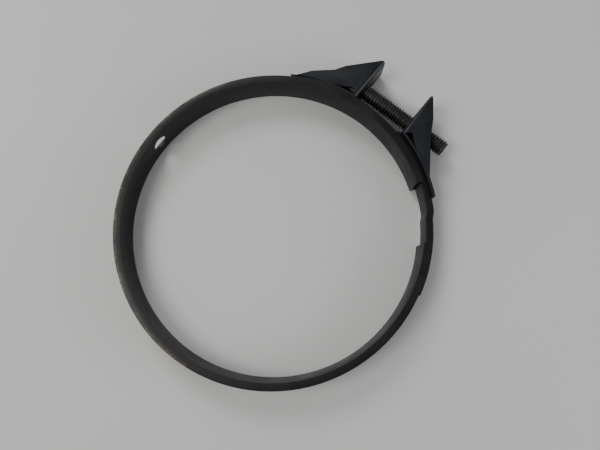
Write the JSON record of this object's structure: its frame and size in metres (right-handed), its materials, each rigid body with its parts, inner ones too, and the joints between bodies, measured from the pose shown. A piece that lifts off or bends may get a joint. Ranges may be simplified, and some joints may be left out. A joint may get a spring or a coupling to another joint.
{
  "type": "pipe band clamp",
  "caption": "Single-bolt band clamp for a pipe: sprung sheet band with turned-out rims, bridged gap, folded lugs and a threaded clamping screw.",
  "frame": {"origin": "on the axis of the pipe that the band closes on, at half the band's width", "axes": "+Z along the pipe; the screw and both lugs lie on the +X +Y side, and the band's locating hole on the -X +Y side"},
  "size_m": [0.1562, 0.1521, 0.0154],
  "materials": {
    "band_paint": "satin black paint",
    "lug_paint": "semi-gloss black paint with a blue cast",
    "screw_black": "black oxide, oiled",
    "nut_steel": "dark phosphated steel",
    "weld_metal": "painted weld metal"
  },
  "bodies": {
    "head_side": {"band_head_arm": "band_paint", "head_lug": "lug_paint", "head_washer": "nut_steel", "head_lug_welds": "weld_metal"},
    "tail_side": {"band_tail_arm": "band_paint", "bridge_strip": "band_paint", "nut_lug": "lug_paint", "nut_lug_welds": "weld_metal", "bridge_spot_welds": "weld_metal"},
    "nut": {"captive_nut": "nut_steel"},
    "screw": {"cap_screw": "screw_black"}
  },
  "joints": [
    {"name": "band_flex", "type": "hinge", "parent": "head_side", "child": "tail_side", "pos_m": [-0.06201, -0.0316, 0], "axis": [0, 0, 1], "range_deg": [-2.4, 2.4]},
    {"name": "nut_travel", "type": "slide", "parent": "head_side", "child": "nut", "axis": [0.7771, -0.6293, 0], "range_m": [-0.0062, 0.0062]},
    {"name": "screw_turn", "type": "hinge", "parent": "head_side", "child": "screw", "pos_m": [0.04235, 0.06929, 0], "axis": [0.7771, -0.6293, 0], "range_deg": [-1560, 1560]}
  ],
  "couplings": [
    {"joint": "nut_travel", "follows": "band_flex", "m_per_rad": -0.14408},
    {"joint": "screw_turn", "follows": "band_flex", "ratio": 641.6}
  ]
}
